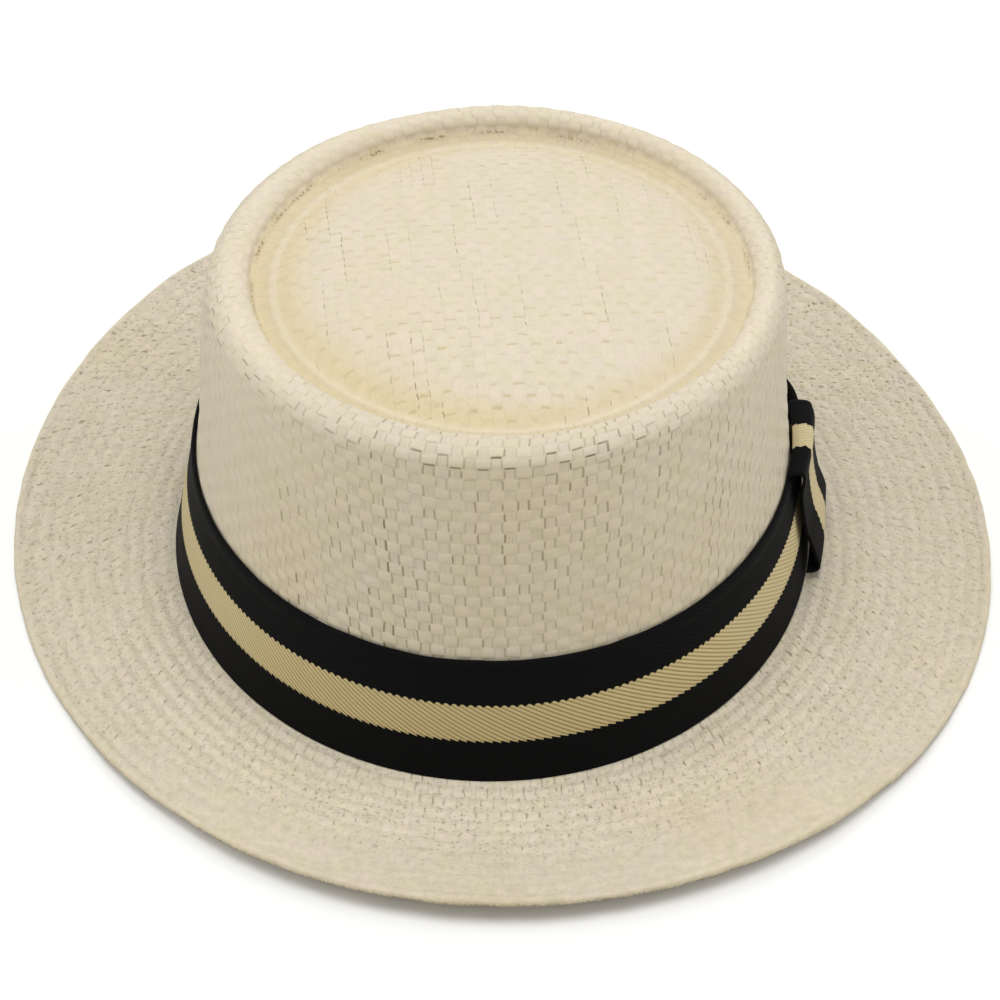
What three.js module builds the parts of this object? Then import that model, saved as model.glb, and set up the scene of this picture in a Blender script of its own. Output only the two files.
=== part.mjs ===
// Straw porkpie hat, in millimetres.
// +Z is up, the front of the hat looks along -Y, and the wearer's left is +X.
// The hat rests on its brim on the plane Z = 0, with the origin under its middle.

import * as THREE from 'three';

// Driving dimensions
const SEGMENTS = 60;            // facets round every oval
const BRIM_MIDDLE_X = 2.2;      // the brim is a little wider on the wearer's left
const BRIM_MIDDLE_Y = -0.4;
const STRAW_THICKNESS = 1.5;
const RIBBON_THICKNESS = 1.0;
const GAP = 0.3;                // air between touching pieces

const FOOT_TOP = 2.2;           // top face of the brim where it meets the crown
const FOOT_RADIUS = 0.8;        // bend from crown wall to brim, on the outer face
const LIP_HALF_WIDTH = 4.4;      // rolled rim round the top of the crown
const LIP_RISE = 3.5;           // how far it rolls up above the wall
const LIP_BACK_SHIFT = 2.6;     // its inner side sits back and to the wearer's left, so the lip
const LIP_SIDE_SHIFT = 1.4;     // is widest in front and at the wearer's right
const LIP_LENGTH_EXTRA = 1.5;
const LIP_WIDTH_EXTRA = 0.4;
const LIP_WALL_DROP = 0.7;      // straight drop inside the lip
const CREASE_RADIUS = 1.5;      // bend at the foot of that drop
const GROOVE_WIDTH = 5.0;       // flat floor between the crease and the tip
const TIP_RISE = 4.6;           // how far the domed tip stands above the groove
const TIP_SQUARENESS = 5;       // higher keeps the tip flat for longer

const BRIM_REST = 1.05;         // mid height of the brim's edge where it rests
const BRIM_FRONT_LIFT = 4.9;
const BRIM_BACK_LIFT = 11.8;
const FRONT_LIFT_START = 0.4;   // sine of the angle where each lift begins
const BACK_LIFT_START = 0.3;
const LIFT_POWER = 1.7;         // how gradually a lift begins
const CURL_POWER = 1.8;         // how much of the curl is out at the edge
const SETTLED_BY = 0.9;         // fraction of the brim's width where it is level with its edge
const HEM_WIDTH = 2.4;
const HEM_THICKNESS = 2.1;
const HEM_STEP = 0.8;           // slope at each side of the hem
const HEM_NOSE = 0.15;          // rounding of its outer edge

const BAND_BOTTOM = 2.6;
const BAND_TOP = 35.8;

const WRAP_BACK_Y = 9.3;
const WRAP_FRONT_Y = -25.0;
const WRAP_STATIONS = 7;
const WRAP_CLOSE = 0.9;         // standoff where the wrap's sheet lies against the band
const WRAP_FRONT_BULGE = 0.45;  // its front edge lies close and its back edge bulges out
const WRAP_BACK_BULGE = 1.2;

// Outer face of the crown's wall, a row for each level
const crownWall = [
  { height: FOOT_TOP + FOOT_RADIUS, halfWidth: 84.9, halfLength: 103.8, centreX: 0.0, centreY: 0.0 },
  { height: 20.0, halfWidth: 81.9, halfLength: 100.2, centreX: 0.1, centreY: -0.8 },
  { height: 36.3, halfWidth: 79.0, halfLength: 96.2, centreX: 0.3, centreY: -1.5 },
  { height: 50.0, halfWidth: 77.7, halfLength: 92.6, centreX: 0.3, centreY: -1.0 },
  { height: 65.0, halfWidth: 77.0, halfLength: 88.7, centreX: 0.5, centreY: -0.5 },
  { height: 76.0, halfWidth: 76.2, halfLength: 85.5, centreX: 0.8, centreY: -0.2 },
  { height: 82.7, halfWidth: 75.2, halfLength: 83.4, centreX: 1.1, centreY: 0.0 },
];

// Distance of the brim's edge beyond an oval of 84.5 by 101.5: slow waves round the hat
const edgeOval = { halfWidth: 84.5, halfLength: 101.5 };
const edgeWaves = [
  { turns: 0, cosine: 50.5, sine: 0.0 },
  { turns: 1, cosine: 1.8, sine: 1.7 },
  { turns: 2, cosine: -0.8, sine: -2.9 },
  { turns: 3, cosine: 0.8, sine: 1.8 },
  { turns: 4, cosine: -0.9, sine: 0.2 },
  { turns: 5, cosine: -0.3, sine: -0.5 },
];

// Middle of the ribbon wrap's sheet: how far it stands off the band's outer face, at each height
const wrapSection = [
  { standoff: -0.4, height: BAND_TOP + 0.9 },
  { standoff: 1.3, height: BAND_TOP + 1.6 },
  { standoff: 3.1, height: BAND_TOP + 0.9 },
  { standoff: 4.3, height: BAND_TOP - 1.5 },
  { standoff: 4.8, height: BAND_TOP - 8.0 },
  { standoff: 5.0, height: 18.0 },
  { standoff: 5.0, height: 10.0 },
  { standoff: 4.5, height: 6.6 },
  { standoff: 3.2, height: 4.7 },
  { standoff: 1.1, height: 4.3 },
];

// Rings on the tip and on the brim, as fractions of their whole reach
const tipFractions = [0.94, 0.84, 0.68, 0.46, 0.22];
const brimFractions = [0, 0.18, 0.36, 0.54, 0.72];

// Ovals

function mixRows(low, high, amount) {
  const row = {};
  for (const column of Object.keys(low)) {
    row[column] = THREE.MathUtils.lerp(low[column], high[column], amount);
  }
  return row;
}

function wallAt(height) {
  let level = 0;
  while (level < crownWall.length - 2 && crownWall[level + 1].height < height) {
    level += 1;
  }
  const low = crownWall[level];
  const high = crownWall[level + 1];
  return mixRows(low, high, (height - low.height) / (high.height - low.height));
}

function offsetRow(row, outward, upward) {
  return {
    ...row,
    height: row.height + upward,
    halfWidth: row.halfWidth + outward,
    halfLength: row.halfLength + outward,
  };
}

function ovalPoint(row, angle) {
  return new THREE.Vector3(
    row.centreX + row.halfWidth * Math.cos(angle),
    row.centreY + row.halfLength * Math.sin(angle),
    row.height,
  );
}

function segmentAngles() {
  return Array.from({ length: SEGMENTS }, (_, index) => (2 * Math.PI * index) / SEGMENTS);
}

function ovalRing(row) {
  return segmentAngles().map((angle) => ovalPoint(row, angle));
}

// Closed skins

function signedVolume(points, faces) {
  let volume = 0;
  for (const [a, b, c] of faces) {
    volume += points[a].dot(new THREE.Vector3().crossVectors(points[b], points[c])) / 6;
  }
  return volume;
}

function makeGeometry(points, faces) {
  const outward = signedVolume(points, faces) > 0;
  const triangles = outward ? faces : faces.map(([a, b, c]) => [a, c, b]);
  const geometry = new THREE.BufferGeometry().setFromPoints(points);
  geometry.setIndex(triangles.flat());
  geometry.computeVertexNormals();
  return geometry;
}

// Triangles between two closed loops of points
function stripFaces(first, second, count) {
  const faces = [];
  for (let index = 0; index < count; index += 1) {
    const next = (index + 1) % count;
    faces.push([first + index, first + next, second + next]);
    faces.push([first + index, second + next, second + index]);
  }
  return faces;
}

// A ring-shaped body: the rings follow its section round and the last joins the first
function ringBody(rings) {
  const count = rings[0].length;
  const faces = rings.flatMap((_, index) => (
    stripFaces(index * count, ((index + 1) % rings.length) * count, count)
  ));
  return makeGeometry(rings.flat(), faces);
}

// A cup-shaped body: rings from one pole out, round the rim and back to the other pole
function cupBody(firstPole, rings, lastPole) {
  const count = rings[0].length;
  const points = [...rings.flat(), firstPole, lastPole];
  const firstIndex = points.length - 2;
  const lastIndex = points.length - 1;
  const lastRing = (rings.length - 1) * count;
  const faces = [];
  for (let index = 0; index < rings.length - 1; index += 1) {
    faces.push(...stripFaces(index * count, (index + 1) * count, count));
  }
  for (let index = 0; index < count; index += 1) {
    const next = (index + 1) % count;
    faces.push([firstIndex, next, index]);
    faces.push([lastIndex, lastRing + index, lastRing + next]);
  }
  return makeGeometry(points, faces);
}

// A bar-shaped body: one closed loop for each station, with both ends capped
function barBody(loops, outline) {
  const count = loops[0].length;
  const faces = [];
  for (let index = 0; index < loops.length - 1; index += 1) {
    faces.push(...stripFaces(index * count, (index + 1) * count, count));
  }
  const lastLoop = (loops.length - 1) * count;
  for (const [a, b, c] of THREE.ShapeUtils.triangulateShape(outline, [])) {
    faces.push([a, c, b]);
    faces.push([lastLoop + a, lastLoop + b, lastLoop + c]);
  }
  return makeGeometry(loops.flat(), faces);
}

// Crown

// Rows along an oval arc about the given row; angle 0 points outward, 90 degrees up
function arcRows(centre, reach, rise, fromDegrees, toDegrees, steps) {
  const rows = [];
  for (let step = 0; step <= steps; step += 1) {
    const angle = THREE.MathUtils.degToRad(
      THREE.MathUtils.lerp(fromDegrees, toDegrees, step / steps),
    );
    rows.push(offsetRow(centre, reach * Math.cos(angle), rise * Math.sin(angle)));
  }
  return rows;
}

// Rolled lip from the wall's top over to its inner side, which is set back
function lipRows(wallTop) {
  const centre = offsetRow(wallTop, -LIP_HALF_WIDTH, 0);
  return arcRows(centre, LIP_HALF_WIDTH, LIP_RISE, 0, 180, 8).map((row) => {
    const over = (wallTop.halfWidth - row.halfWidth) / (2 * LIP_HALF_WIDTH);
    return {
      ...row,
      halfWidth: row.halfWidth - LIP_WIDTH_EXTRA * over,
      halfLength: row.halfLength - LIP_LENGTH_EXTRA * over,
      centreX: row.centreX + LIP_SIDE_SHIFT * over,
      centreY: row.centreY + LIP_BACK_SHIFT * over,
    };
  });
}

function tipHeight(fraction) {
  return TIP_RISE * (1 - fraction ** TIP_SQUARENESS);
}

// Rings of the domed tip, each a fraction of the ring round its foot
function tipRows(grooveRow) {
  return tipFractions.map((fraction) => ({
    ...grooveRow,
    height: grooveRow.height + tipHeight(fraction),
    halfWidth: grooveRow.halfWidth * fraction,
    halfLength: grooveRow.halfLength * fraction,
  }));
}

// Outer face of the crown from the end of its foot to the last ring round the tip's middle
function crownOuterRows() {
  const footCentre = offsetRow(crownWall[0], FOOT_RADIUS, 0);
  const foot = arcRows(footCentre, -FOOT_RADIUS, -FOOT_RADIUS, 90, 0, 2);
  const lip = lipRows(crownWall[crownWall.length - 1]);
  const lipFoot = offsetRow(lip[lip.length - 1], 0, -LIP_WALL_DROP);
  const creaseCentre = offsetRow(lipFoot, -CREASE_RADIUS, 0);
  const crease = arcRows(creaseCentre, CREASE_RADIUS, CREASE_RADIUS, 0, -90, 2);
  const grooveInside = offsetRow(crease[crease.length - 1], -GROOVE_WIDTH, 0);
  return [
    ...foot,
    ...crownWall.slice(1, -1),
    ...lip,
    ...crease,
    grooveInside,
    ...tipRows(grooveInside),
  ];
}

// The same rows moved inward by the straw's thickness, square to the wall's mean slope
function innerRows(rows) {
  return rows.map((row, index) => {
    const before = rows[Math.max(index - 1, 0)];
    const after = rows[Math.min(index + 1, rows.length - 1)];
    const radiusOf = ({ halfWidth, halfLength }) => (halfWidth + halfLength) / 2;
    const along = new THREE.Vector2(radiusOf(after) - radiusOf(before), after.height - before.height);
    along.normalize();
    return offsetRow(row, -along.y * STRAW_THICKNESS, along.x * STRAW_THICKNESS);
  });
}

function crownGeometry() {
  const outer = crownOuterRows();
  const inner = innerRows(outer);
  inner[0] = offsetRow(outer[0], 0, -STRAW_THICKNESS);
  const tip = outer[outer.length - 1];
  const tipTop = tip.height - tipHeight(tipFractions[tipFractions.length - 1]) + TIP_RISE;
  const outerPole = new THREE.Vector3(tip.centreX, tip.centreY, tipTop);
  const innerPole = outerPole.clone().setZ(tipTop - STRAW_THICKNESS);
  const rings = [...outer.slice().reverse(), ...inner].map(ovalRing);
  return cupBody(outerPole, rings, innerPole);
}

// Brim

function brimInnerPoint(angle) {
  const footEdge = offsetRow(crownWall[0], FOOT_RADIUS + GAP, 0);
  return ovalPoint(footEdge, angle);
}

function brimEdgePoint(angle) {
  let width = 0;
  for (const { turns, cosine, sine } of edgeWaves) {
    width += cosine * Math.cos(turns * angle) + sine * Math.sin(turns * angle);
  }
  return new THREE.Vector3(
    (edgeOval.halfWidth + width) * Math.cos(angle),
    (edgeOval.halfLength + width) * Math.sin(angle),
    0,
  );
}

function liftBeyond(amount, start) {
  return Math.max(0, (amount - start) / (1 - start)) ** LIFT_POWER;
}

// Mid height of the brim at a fraction of its width: level at the sides, curled up front and back
function brimHeight(angle, fraction) {
  const front = BRIM_FRONT_LIFT * liftBeyond(-Math.sin(angle), FRONT_LIFT_START);
  const back = BRIM_BACK_LIFT * liftBeyond(Math.sin(angle), BACK_LIFT_START);
  const footHeight = FOOT_TOP - STRAW_THICKNESS / 2;
  const settled = THREE.MathUtils.smoothstep(fraction, 0, SETTLED_BY);
  const level = THREE.MathUtils.lerp(footHeight, BRIM_REST, settled);
  return level + (front + back) * fraction ** CURL_POWER;
}

// Section of the brim: top face out, turned hem, underside back
function brimSection() {
  const flat = STRAW_THICKNESS / 2;
  const hem = HEM_THICKNESS / 2;
  const top = brimFractions.map((fraction) => ({ fraction, inset: 0, above: flat }));
  const hemTop = [
    { fraction: 1, inset: HEM_WIDTH + HEM_STEP, above: flat },
    { fraction: 1, inset: HEM_WIDTH, above: hem },
    { fraction: 1, inset: HEM_STEP, above: hem },
    { fraction: 1, inset: HEM_NOSE, above: hem / 2 },
  ];
  const upper = [...top, ...hemTop];
  const lower = upper.map((point) => ({ ...point, above: -point.above })).reverse();
  return [...upper, ...lower];
}

function brimRing({ fraction, inset, above }) {
  return segmentAngles().map((angle) => {
    const inner = brimInnerPoint(angle);
    const edge = brimEdgePoint(angle);
    const width = Math.hypot(edge.x - inner.x, edge.y - inner.y);
    const share = fraction - inset / width;
    const point = inner.lerp(edge, share);
    point.z = brimHeight(angle, share) + above;
    return point;
  });
}

function brimGeometry() {
  return ringBody(brimSection().map(brimRing));
}

// Ribbon

function bandOuterRow(height) {
  return offsetRow(wallAt(height), GAP + RIBBON_THICKNESS, 0);
}

function hatbandGeometry() {
  const heights = [BAND_BOTTOM, crownWall[1].height, BAND_TOP];
  const inner = heights.map((height) => offsetRow(wallAt(height), GAP, 0));
  const outer = heights.map(bandOuterRow).reverse();
  return ringBody([...inner, ...outer].map(ovalRing));
}

// Both faces of a thin sheet, as one loop round its middle line
function sheetOutline(middle, thickness) {
  const sides = [[], []];
  middle.forEach((point, index) => {
    const before = middle[Math.max(index - 1, 0)];
    const after = middle[Math.min(index + 1, middle.length - 1)];
    const along = after.clone().sub(before).normalize();
    const across = new THREE.Vector2(along.y, -along.x).multiplyScalar(thickness / 2);
    sides[0].push(point.clone().add(across));
    sides[1].push(point.clone().sub(across));
  });
  return [...sides[0], ...sides[1].reverse()];
}

function bandWrapGeometry() {
  const flat = wrapSection.map(({ standoff, height }) => new THREE.Vector2(standoff, height));
  const outline = sheetOutline(flat, RIBBON_THICKNESS);
  const halfLength = bandOuterRow(BAND_BOTTOM).halfLength;
  const loops = [];
  for (let station = 0; station < WRAP_STATIONS; station += 1) {
    const share = station / (WRAP_STATIONS - 1);
    const y = THREE.MathUtils.lerp(WRAP_FRONT_Y, WRAP_BACK_Y, share);
    const bulge = THREE.MathUtils.lerp(WRAP_FRONT_BULGE, WRAP_BACK_BULGE, share);
    const angle = Math.asin(y / halfLength);
    const middle = wrapSection.map(({ standoff, height }) => new THREE.Vector2(
      WRAP_CLOSE + (standoff - WRAP_CLOSE) * bulge,
      height,
    ));
    loops.push(sheetOutline(middle, RIBBON_THICKNESS).map(({ x: standoff, y: height }) => {
      const row = offsetRow(bandOuterRow(Math.min(height, BAND_TOP)), standoff, 0);
      return ovalPoint({ ...row, height }, angle);
    }));
  }
  return barBody(loops, outline);
}

// Hat

const straw = { color: '#ded3b9', roughness: 0.75, metalness: 0 };
const ribbon = { color: '#16161a', roughness: 0.85, metalness: 0 };

function addPiece(group, name, geometry, finish) {
  const mesh = new THREE.Mesh(geometry, new THREE.MeshStandardMaterial(finish));
  mesh.name = name;
  group.add(mesh);
}

const hat = new THREE.Group();
hat.position.set(-BRIM_MIDDLE_X, -BRIM_MIDDLE_Y, 0);
addPiece(hat, 'crown', crownGeometry(), straw);
addPiece(hat, 'brim', brimGeometry(), straw);
addPiece(hat, 'hatband', hatbandGeometry(), ribbon);
addPiece(hat, 'band_wrap', bandWrapGeometry(), ribbon);

export default hat;
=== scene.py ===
# %% [markdown]
# # A straw porkpie hat
#
# The hat is a cup of woven paper straw with a flat, sunken top, a level brim with a turned edge, a
# striped ribbon round the foot of the crown and an upright wrap of the same ribbon at the wearer's left.
# Everything is in metres, +Z is up, the front looks along -Y and the hat rests on the floor at z = 0.

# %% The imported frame
import math
from types import SimpleNamespace

import bmesh
import bpy
import numpy as np
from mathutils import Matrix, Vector, noise


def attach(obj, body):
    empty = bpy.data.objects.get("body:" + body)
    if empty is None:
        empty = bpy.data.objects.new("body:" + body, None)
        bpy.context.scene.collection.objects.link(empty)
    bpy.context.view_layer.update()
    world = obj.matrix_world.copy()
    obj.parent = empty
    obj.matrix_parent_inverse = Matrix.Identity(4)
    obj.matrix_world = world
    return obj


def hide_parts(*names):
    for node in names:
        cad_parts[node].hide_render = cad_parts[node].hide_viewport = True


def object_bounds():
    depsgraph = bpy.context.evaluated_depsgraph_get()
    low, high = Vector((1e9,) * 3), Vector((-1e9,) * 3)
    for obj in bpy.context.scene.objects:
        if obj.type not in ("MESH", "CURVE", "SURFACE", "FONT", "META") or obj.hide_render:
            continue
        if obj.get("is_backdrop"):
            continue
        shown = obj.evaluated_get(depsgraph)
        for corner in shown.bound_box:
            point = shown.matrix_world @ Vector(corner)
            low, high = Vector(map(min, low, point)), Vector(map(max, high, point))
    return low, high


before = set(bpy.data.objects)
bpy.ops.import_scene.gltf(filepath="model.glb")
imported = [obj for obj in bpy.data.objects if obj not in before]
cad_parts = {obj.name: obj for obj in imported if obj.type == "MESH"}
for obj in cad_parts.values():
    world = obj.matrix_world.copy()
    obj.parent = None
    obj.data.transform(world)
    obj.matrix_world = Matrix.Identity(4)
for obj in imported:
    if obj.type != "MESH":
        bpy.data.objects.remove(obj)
cad_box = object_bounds()
print("nodes:", sorted(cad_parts))
print("hat, lowest and highest corner:", cad_box)

# %% [markdown]
# ## Camera
#
# A long lens keeps the two ovals of the hat from spreading apart. It looks down at the front of the hat
# from a little more than a third of the way up to overhead, with no turn to either side.

# %% Camera
MM = 0.001
LOOK_AT = Vector((0.0, 0.4, 9.8)) * MM
CAMERA_DISTANCE = 0.900
CAMERA_ELEVATION = math.radians(37.56)
LENS = 118.6

camera_data = bpy.data.cameras.new("camera")
camera_data.lens = LENS
camera_data.sensor_width = 36.0
camera = bpy.data.objects.new("camera", camera_data)
bpy.context.scene.collection.objects.link(camera)
away = Vector((0, -math.cos(CAMERA_ELEVATION), math.sin(CAMERA_ELEVATION)))
camera.location = LOOK_AT + away * CAMERA_DISTANCE
camera.rotation_euler = (math.pi / 2 - CAMERA_ELEVATION, 0, 0)
bpy.context.scene.camera = camera
print("camera at", tuple(round(x, 4) for x in camera.location))

# %% [markdown]
# ## Floor and light
#
# The hat stands on a plain white floor. The floor could be a curved backdrop, but the camera looks down
# and sees nothing past it, so a large flat plane is enough. The light is soft: a pale sky all round and
# five square panels. The large ones at the left and right give most of it. The ones overhead and behind
# make the top of the crown the brightest part, and a weak, slightly warm one in front leaves the wall
# that faces the camera in half shade.

# %% Floor
FLOOR_HALF_WIDTH = 4.0


def new_mesh_object(name, bm):
    mesh = bpy.data.meshes.new(name)
    bm.to_mesh(mesh)
    bm.free()
    mesh.shade_smooth()
    made = bpy.data.objects.new(name, mesh)
    bpy.context.scene.collection.objects.link(made)
    return made


bm = bmesh.new()
bmesh.ops.create_grid(bm, x_segments=1, y_segments=1, size=FLOOR_HALF_WIDTH)
floor = new_mesh_object("floor", bm)
floor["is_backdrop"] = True

floor_paint = bpy.data.materials.new("white floor")
floor_paint.use_nodes = True
floor_shader = floor_paint.node_tree.nodes["Principled BSDF"]
floor_shader.inputs["Base Color"].default_value = (0.90, 0.90, 0.89, 1)
floor_shader.inputs["Roughness"].default_value = 0.9
floor_shader.inputs["Specular IOR Level"].default_value = 0.1
floor.data.materials.append(floor_paint)
print("floor:", 2 * FLOOR_HALF_WIDTH, "m across")

# %% Light
LIGHTS_AIM_AT = Vector((0, 0, 0.05))
bpy.context.scene.view_settings.view_transform = "Standard"

world = bpy.data.worlds.new("pale sky")
bpy.context.scene.world = world
world.use_nodes = True
sky = world.node_tree.nodes["Background"]
sky.inputs["Color"].default_value = (1.0, 0.99, 0.965, 1)
sky.inputs["Strength"].default_value = 0.40


def softbox(name, place, size, power, colour=(0.985, 0.995, 1.0)):
    lamp = bpy.data.lights.new(name, "AREA")
    lamp.shape = "SQUARE"
    lamp.size = size
    lamp.energy = power
    lamp.color = colour
    box = bpy.data.objects.new(name, lamp)
    bpy.context.scene.collection.objects.link(box)
    box.location = place
    box.rotation_euler = (Vector(place) - LIGHTS_AIM_AT).to_track_quat("Z", "Y").to_euler()


softbox("overhead panel", (0.0, -0.16, 1.6), 1.0, 12.6)
softbox("back panel", (0.0, 2.4, 2.0), 2.0, 22.0)
softbox("front panel", (0.0, -2.8, 2.0), 2.4, 6.6, (1.0, 0.97, 0.86))
softbox("left panel", (-3.0, 0.1, 1.8), 2.4, 35.0)
softbox("right panel", (3.0, 0.1, 1.8), 2.4, 35.0)

# %% [markdown]
# ## The shape of the crown
#
# The crown is blocked over a wooden form while damp, so every level of it is an oval. Its wall leans in
# as it rises, rolls over a broad lip, drops into a groove and rises again to a flat tip. A revolve
# would be round, so the section is spun round first, which gives clean rings and closed poles, and each
# ring is then moved onto its own oval.
#
# A ring is written as half its width, half its length, where its middle is and its height.

# %% Rings
HALF_WIDTH, HALF_LENGTH, MIDDLE_X, MIDDLE_Y, HEIGHT = range(5)

# (height, half width, half length, middle x, middle y) of the wall's outer face, in millimetres
wall_levels = np.array([
    (3.0, 84.9, 103.8, -2.2, 0.4),
    (20.0, 81.9, 100.2, -2.1, -0.4),
    (36.3, 79.0, 96.2, -1.9, -1.1),
    (50.0, 77.7, 92.6, -1.9, -0.6),
    (65.0, 77.0, 88.7, -1.7, -0.1),
    (76.0, 76.2, 85.5, -1.4, 0.2),
    (82.7, 75.2, 83.4, -1.1, 0.4),
]) * MM
WALL_TOP = wall_levels[-1, 0]


def wall_ring(height):
    """The wall's outer ring at a height, on a smooth curve through the levels."""
    x = height / WALL_TOP
    ring = [np.polyval(curve, x) for curve in wall_curves]
    return np.array(ring + [height])


wall_curves = [np.polyfit(wall_levels[:, 0] / WALL_TOP, wall_levels[:, k], 4) for k in range(1, 5)]
miss = max(abs(wall_ring(row[0])[:4] - row[1:]).max() for row in wall_levels)
print(f"the smooth wall is within {miss / MM:.2f} mm of its levels")


def grown(ring, outward, upward=0.0):
    return ring + np.array([outward, outward, 0, 0, upward])


def arc_rings(middle, reach, rise, start, end, steps):
    """Rings along an oval arc about the ring through its middle; 0 degrees points outward, 90 up."""
    angles = np.radians(np.linspace(start, end, steps + 1))
    return [grown(middle, reach * math.cos(a), rise * math.sin(a)) for a in angles]


def on_ovals(rings, turn, outward=0.0):
    """Where rings lie at given turns round the hat, seen from above."""
    x = rings[..., MIDDLE_X] + (rings[..., HALF_WIDTH] + outward) * np.cos(turn)
    y = rings[..., MIDDLE_Y] + (rings[..., HALF_LENGTH] + outward) * np.sin(turn)
    return np.stack([x, y], 1)


def run_along(points):
    """How far along a chain of points each one is."""
    return np.concatenate([[0], np.cumsum(np.linalg.norm(np.diff(points, axis=0), axis=1))])


# %% Section of the crown's outer face
STRAW = 1.5 * MM
FOOT_RADIUS = 0.8 * MM
LIP_HALF_WIDTH = 4.4 * MM
LIP_RISE = 3.5 * MM
LIP_BACK_SHIFT = 2.6 * MM
LIP_SIDE_SHIFT = 1.4 * MM
LIP_LENGTH_EXTRA = 1.5 * MM
LIP_WIDTH_EXTRA = 0.8 * MM
CREASE_RADIUS = 2.2 * MM
GROOVE_WIDTH = 4.0 * MM
GROOVE_STEPS = 8
GROOVE_RIDGE = 0.30 * MM
RIDGE_AT, RIDGE_SPREAD = 0.80, 0.14
TIP_RISE = 4.6 * MM
TIP_SQUARENESS = 5
BAND_TOP = 35.8 * MM
CLOSE_RINGS_FROM = 34.4 * MM


def hump(x, middle, spread):
    """1 at a middle, falling away on both sides."""
    return np.exp(-((x - middle) / spread) ** 2)


foot_middle = grown(wall_ring(wall_levels[0, 0]), FOOT_RADIUS)
outer = arc_rings(foot_middle, -FOOT_RADIUS, -FOOT_RADIUS, 90, 0, 2)
outer += [wall_ring(z) for z in np.linspace(wall_levels[0, 0], CLOSE_RINGS_FROM, 6)[1:]]
outer += [wall_ring(z) for z in np.linspace(CLOSE_RINGS_FROM, WALL_TOP, 61)[1:-1]]
lip_start = len(outer)
lip_middle = grown(wall_ring(WALL_TOP), -LIP_HALF_WIDTH)
for lip in arc_rings(lip_middle, LIP_HALF_WIDTH, LIP_RISE, 0, 180, 16):
    over = (wall_ring(WALL_TOP)[HALF_WIDTH] - lip[HALF_WIDTH]) / (2 * LIP_HALF_WIDTH)
    lip[HALF_WIDTH] -= LIP_WIDTH_EXTRA * over
    lip[HALF_LENGTH] -= LIP_LENGTH_EXTRA * over
    lip[MIDDLE_X] += LIP_SIDE_SHIFT * over
    lip[MIDDLE_Y] += LIP_BACK_SHIFT * over
    outer.append(lip)
lip_end = len(outer) - 1
outer += arc_rings(grown(outer[-1], -CREASE_RADIUS), CREASE_RADIUS, CREASE_RADIUS, 0, -90, 6)[1:]
crease = len(outer) - 3
groove_start = outer[-1]
for k in range(1, GROOVE_STEPS + 1):
    f = k / GROOVE_STEPS
    outer.append(grown(groove_start, -GROOVE_WIDTH * f, GROOVE_RIDGE * hump(f, RIDGE_AT, RIDGE_SPREAD)))
groove_end = grown(groove_start, -GROOVE_WIDTH)
tip_start = len(outer)
for f in np.linspace(1, 0, 43)[1:]:
    scale = np.array([f, f, 1, 1, 1])
    outer.append(groove_end * scale + np.array([0, 0, 0, 0, TIP_RISE * (1 - f ** TIP_SQUARENESS)]))
outer = np.array(outer)
run = run_along(np.stack([outer[:, :2].mean(1), outer[:, HEIGHT]], 1))
crest = run[lip_start + 8]
print(f"{len(outer)} rings, {run[-1] / MM:.0f} mm from foot to middle, lip crest at {crest / MM:.0f} mm")

# %% [markdown]
# The inner face is what the head would touch. It follows the outer one at the straw's thickness with far
# fewer rings, because nothing but a soft trace of the weave shows on it.

# %% Section of the inner face
kept = [0, 4, 8, 14, 22, 30, 38, 46, 54, 60, lip_start, lip_start + 3, lip_start + 5, lip_start + 8]
kept += [lip_start + 11, lip_start + 13, lip_end, crease, crease + 2, tip_start]
kept += [tip_start + 5, tip_start + 12, tip_start + 24, len(outer) - 1]
coarse = outer[kept]
size = coarse[:, :2].mean(1)
slope = np.stack([np.gradient(size), np.gradient(coarse[:, HEIGHT])], 1)
slope /= np.linalg.norm(slope, axis=1)[:, None]
inner = np.array([grown(r, -dz * STRAW, dx * STRAW) for r, (dx, dz) in zip(coarse, slope)])
inner[0] = grown(outer[0], 0, -STRAW)
inner[-1] = grown(outer[-1], 0, -STRAW)
section = np.concatenate([inner[::-1], outer])
print(f"{len(section)} rings in the whole section")

# %% [markdown]
# ## The weave
#
# Paper straw is flat strips crossing over and under one another. Three things show: the strips that pass
# over stand up as little blocks in a chequer, their ends dip under the crossing strip and leave a dark
# slit, and each strip bends a little out of line. The blocks are real shape in the mesh, so they catch
# the light and roughen the outline. The slits and fibres are thinner than the mesh and are left to the
# material, which reads the same chequer from a UV map that counts strips instead of metres.
#
# The wall has 140 upright strips round it. On the tip the same strips run straight from front to back,
# and on the brim they fan out with others laid in between, so there are 366.

# %% How big the strips are
WALL_COLUMNS = 140
WALL_ROW = 2.65 * MM
TIP_COLUMN = 2.98 * MM
BRIM_COLUMNS = 366
BRIM_ROW = 4.15 * MM
print(f"a wall strip is {math.tau * wall_levels[0, 1] / WALL_COLUMNS / MM:.1f} mm wide at the front")


def ease(x, low, high):
    """0 below a low place, 1 above a high one, and a smooth slope between."""
    t = np.clip((x - low) / (high - low), 0, 1)
    return t * t * (3 - 2 * t)


def chequer(across, along, sharpness):
    """1 in the middle of a strip that passes over along the rows, -1 under it, flat between."""
    wave = np.cos(np.pi * across) * np.cos(np.pi * along)
    return np.tanh(sharpness * wave) / np.tanh(sharpness)


def wander(points, scale, seed):
    """Slow waves over a surface, from about -1 to 1, the same on every run."""
    chance = np.random.default_rng(seed)
    total = np.zeros(len(points))
    for _ in range(14):
        heading = chance.normal(size=3)
        pitch = scale * 2.2 * chance.uniform(0.5, 1.5)
        total += np.sin(points @ (heading / np.linalg.norm(heading) * pitch) + chance.uniform(0, math.tau))
    return total / 5


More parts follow.
